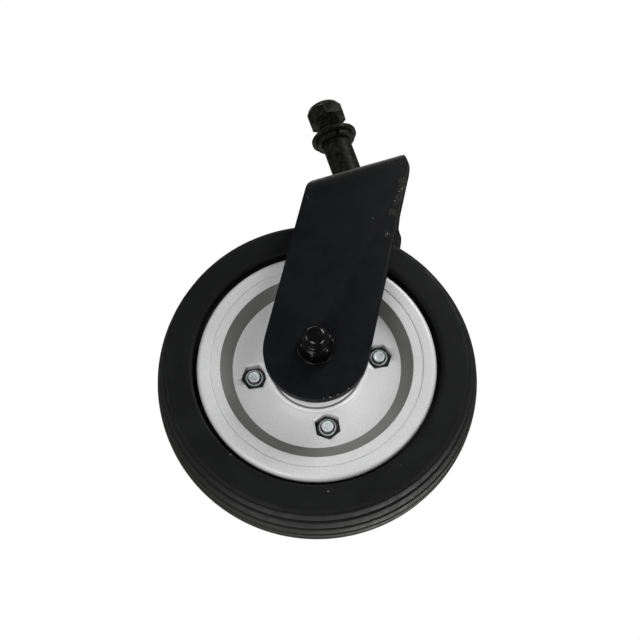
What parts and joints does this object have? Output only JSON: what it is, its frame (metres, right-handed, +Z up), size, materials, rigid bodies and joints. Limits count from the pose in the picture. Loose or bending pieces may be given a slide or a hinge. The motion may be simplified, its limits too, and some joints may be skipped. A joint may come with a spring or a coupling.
{
  "type": "gate wheel",
  "caption": "Swivelling gate wheel: solid rubber tyre on a bolted split metal rim with ball bearings, in a raked black U fork with a threaded pivot bolt, sleeve and washers.",
  "frame": {"origin": "where the swivel axis meets the top face of the fork's crown", "axes": "+Z up along the swivel axis, +Y along the axle towards its bolt head, -X the way the wheel trails"},
  "size_m": [0.1518, 0.1055, 0.2193],
  "materials": {
    "black_paint": "satin black paint",
    "blackened_steel": "black oxide, slightly oily",
    "zinc_plate": "bright zinc plate",
    "bearing_steel": "ground bright steel",
    "silver_paint": "satin silver",
    "tyre_rubber": "matte, faintly sheened",
    "seal_rubber": "matte"
  },
  "bodies": {
    "fork": {"fork": "black_paint", "pivot_sleeve": "blackened_steel", "spring_washer": "blackened_steel", "flat_washer": "blackened_steel", "pivot_nut": "blackened_steel", "axle_bolt": "zinc_plate", "axle_washer_front": "blackened_steel", "axle_washer_back": "blackened_steel", "axle_cap_nut": "blackened_steel", "axle_sleeve": "bearing_steel", "side_spacer_front": "bearing_steel", "side_spacer_back": "bearing_steel", "bearing_spacer": "bearing_steel", "bearing_front_inner_race": "bearing_steel", "bearing_back_inner_race": "bearing_steel"},
    "wheel": {"tyre": "tyre_rubber", "rim_front": "silver_paint", "rim_back": "silver_paint", "rim_bolt_1": "zinc_plate", "rim_bolt_2": "zinc_plate", "rim_bolt_3": "zinc_plate", "rim_bolt_4": "zinc_plate", "rim_nut_1": "zinc_plate", "rim_nut_2": "zinc_plate", "rim_nut_3": "zinc_plate", "rim_nut_4": "zinc_plate", "bearing_front_outer_race": "bearing_steel", "bearing_front_outer_seal": "seal_rubber", "bearing_front_inner_seal": "seal_rubber", "bearing_back_outer_race": "bearing_steel", "bearing_back_outer_seal": "seal_rubber", "bearing_back_inner_seal": "seal_rubber"},
    "front_ball_set": {"bearing_front_balls_and_cage": "bearing_steel"},
    "back_ball_set": {"bearing_back_balls_and_cage": "bearing_steel"},
    "pivot_bolt": {"pivot_bolt": "blackened_steel"}
  },
  "joints": [
    {"name": "wheel_spin", "type": "hinge", "parent": "fork", "child": "wheel", "pos_m": [-0.0488, 0, -0.085], "axis": [0, 1, 0], "continuous": true},
    {"name": "front_balls_orbit", "type": "hinge", "parent": "fork", "child": "front_ball_set", "pos_m": [-0.0488, 0, -0.085], "axis": [0, 1, 0], "continuous": true},
    {"name": "back_balls_orbit", "type": "hinge", "parent": "fork", "child": "back_ball_set", "pos_m": [-0.0488, 0, -0.085], "axis": [0, 1, 0], "continuous": true},
    {"name": "pivot_bolt_travel", "type": "slide", "parent": "fork", "child": "pivot_bolt", "axis": [0, 0, 1], "range_m": [-0.0086, 0]}
  ],
  "couplings": [
    {"joint": "front_balls_orbit", "follows": "wheel_spin", "ratio": 0.627},
    {"joint": "back_balls_orbit", "follows": "wheel_spin", "ratio": 0.627}
  ]
}
